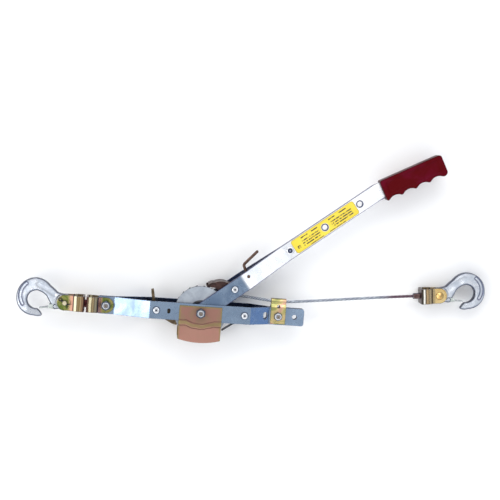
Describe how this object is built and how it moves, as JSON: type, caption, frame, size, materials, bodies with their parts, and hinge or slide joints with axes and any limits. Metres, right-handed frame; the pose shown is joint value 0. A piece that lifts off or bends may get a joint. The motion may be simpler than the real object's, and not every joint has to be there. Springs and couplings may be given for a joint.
{
  "type": "come along winch",
  "caption": "Hand cable puller: ratchet drum between bent straps, long gripped lever with two pawls, wire rope through a guide, and swivel hooks with latches at both ends.",
  "frame": {"origin": "centre of the bounding box, at its lowest point: the winch lies on its side", "axes": "+X along the frame from the anchor hook towards the load hook, +Y towards the lever's side, +Z along the drum axle"},
  "size_m": [0.7822, 0.3367, 0.0671],
  "materials": {
    "zinc_plate": "satin bluish zinc plating, with the grain of rolled strap",
    "zinc_bright": "bright zinc plating, smooth with small dents",
    "yellow_zinc": "yellow chromate over zinc, with a faint pink and green sheen",
    "guard_zinc": "pinkish yellow chromate over thin zinc-plated sheet",
    "drum_cover": "spun pale grey steel",
    "ratchet_steel": "plain oiled steel with bright tooth edges",
    "pawl_steel": "dark brown heat-treated steel",
    "rod_steel": "bronze-brown chromated round wire",
    "spring_steel": "drawn spring wire",
    "cable_steel": "galvanised wire rope, seven by nineteen strands",
    "ferrule": "pressed alloy with faint die marks",
    "grip_vinyl": "dark maroon moulded vinyl with a fine leather grain",
    "label_film": "yellow film with plain printed bars and no lettering"
  },
  "bodies": {
    "frame": {"front_side_plate": "zinc_plate", "rear_side_plate": "zinc_plate", "drum_guard": "guard_zinc", "cable_guide": "yellow_zinc", "axle_bolt": "zinc_bright", "axle_nut": "zinc_bright", "stop_pawl_pin": "zinc_bright", "frame_rivet": "zinc_bright", "frame_spacer": "zinc_bright", "guide_bolt": "zinc_bright", "guide_nut": "zinc_bright", "guide_spacer": "zinc_bright", "clevis_bolt": "zinc_bright", "clevis_nut": "zinc_bright", "clevis_spacer": "zinc_bright", "drag_spring": "spring_steel", "stop_pawl_spring": "spring_steel"},
    "drum": {"drum_core": "ratchet_steel", "drum_hub": "ratchet_steel", "front_ratchet_wheel": "ratchet_steel", "rear_ratchet_wheel": "ratchet_steel", "front_disc": "drum_cover", "rear_disc": "drum_cover", "cable_winding": "cable_steel"},
    "lever": {"front_lever_strap": "zinc_plate", "rear_lever_strap": "zinc_plate", "grip": "grip_vinyl", "lever_label": "label_film", "drive_pawl_pin": "zinc_bright", "lever_rivet": "zinc_bright", "drive_pawl_spring": "spring_steel"},
    "drive_pawl": {"drive_pawl": "pawl_steel"},
    "trip_rod": {"trip_rod": "rod_steel"},
    "stop_pawl": {"stop_pawl": "pawl_steel"},
    "frame_clevis": {"frame_clevis": "yellow_zinc", "swivel_pin": "zinc_bright"},
    "hook_clevis": {"hook_clevis": "yellow_zinc", "clevis_pin": "zinc_bright", "cotter_pin": "zinc_bright"},
    "anchor_hook": {"anchor_hook": "zinc_bright", "anchor_latch_rivet": "zinc_bright"},
    "anchor_latch": {"anchor_latch": "zinc_bright"},
    "cable_end": {"cable_run": "cable_steel", "cable_ferrule": "ferrule"},
    "load_clevis": {"load_clevis": "yellow_zinc", "load_pin": "yellow_zinc", "load_cotter_pin": "zinc_bright"},
    "load_hook": {"load_hook": "zinc_bright", "load_latch_rivet": "zinc_bright"},
    "load_latch": {"load_latch": "zinc_bright"}
  },
  "joints": [
    {"name": "drum_spin", "type": "hinge", "parent": "frame", "child": "drum", "pos_m": [-0.09002, -0.11844, 0.032], "axis": [0, 0, 1], "range_deg": [-360, 198]},
    {"name": "lever_swing", "type": "hinge", "parent": "frame", "child": "lever", "pos_m": [-0.09002, -0.11844, 0.032], "axis": [0, 0, 1], "range_deg": [0, 90]},
    {"name": "drive_pawl_pivot", "type": "hinge", "parent": "lever", "child": "drive_pawl", "pos_m": [-0.03635, -0.07651, 0.032], "axis": [0, 0, -1], "range_deg": [-5, 20], "stiffness_Nm_per_rad": 0.05, "springref_deg": -5},
    {"name": "trip_rod_pivot", "type": "hinge", "parent": "lever", "child": "trip_rod", "pos_m": [-0.01548, -0.05385, 0.032], "axis": [0, 0, 1], "range_deg": [-10, 30]},
    {"name": "stop_pawl_pivot", "type": "hinge", "parent": "frame", "child": "stop_pawl", "pos_m": [-0.16252, -0.11844, 0.032], "axis": [0, 0, -1], "range_deg": [0, 20], "stiffness_Nm_per_rad": 0.05, "springref_deg": -6.99},
    {"name": "frame_clevis_pivot", "type": "hinge", "parent": "frame", "child": "frame_clevis", "pos_m": [-0.24502, -0.11844, 0.032], "axis": [0, 0, 1], "range_deg": [-60, 60]},
    {"name": "anchor_swivel", "type": "hinge", "parent": "frame_clevis", "child": "hook_clevis", "pos_m": [-0.27852, -0.11844, 0.032], "axis": [1, 0, 0], "continuous": true},
    {"name": "anchor_hook_pivot", "type": "hinge", "parent": "hook_clevis", "child": "anchor_hook", "pos_m": [-0.31202, -0.11844, 0.032], "axis": [0, 0, 1], "range_deg": [-45, 45]},
    {"name": "anchor_latch_pivot", "type": "hinge", "parent": "anchor_hook", "child": "anchor_latch", "pos_m": [-0.32702, -0.12564, 0.032], "axis": [0, 0, -1], "range_deg": [0, 30], "stiffness_Nm_per_rad": 0.02, "springref_deg": -11.46},
    {"name": "cable_travel", "type": "slide", "parent": "frame", "child": "cable_end", "axis": [0.9949, 0.1011, 0], "range_m": [-0.125, 0.24], "deforming": ["cable_run"]},
    {"name": "load_swivel", "type": "hinge", "parent": "cable_end", "child": "load_clevis", "pos_m": [0.28085, -0.07117, 0.0154], "axis": [0.9949, 0.1011, 0], "continuous": true},
    {"name": "load_hook_pivot", "type": "hinge", "parent": "load_clevis", "child": "load_hook", "pos_m": [0.31268, -0.06794, 0.0154], "axis": [0, 0, 1], "range_deg": [-45, 45]},
    {"name": "load_latch_pivot", "type": "hinge", "parent": "load_hook", "child": "load_latch", "pos_m": [0.32833, -0.07358, 0.0154], "axis": [0, 0, 1], "range_deg": [0, 30], "stiffness_Nm_per_rad": 0.02, "springref_deg": -11.46}
  ],
  "couplings": [
    {"joint": "cable_travel", "follows": "drum_spin", "m_per_rad": -0.0359}
  ]
}
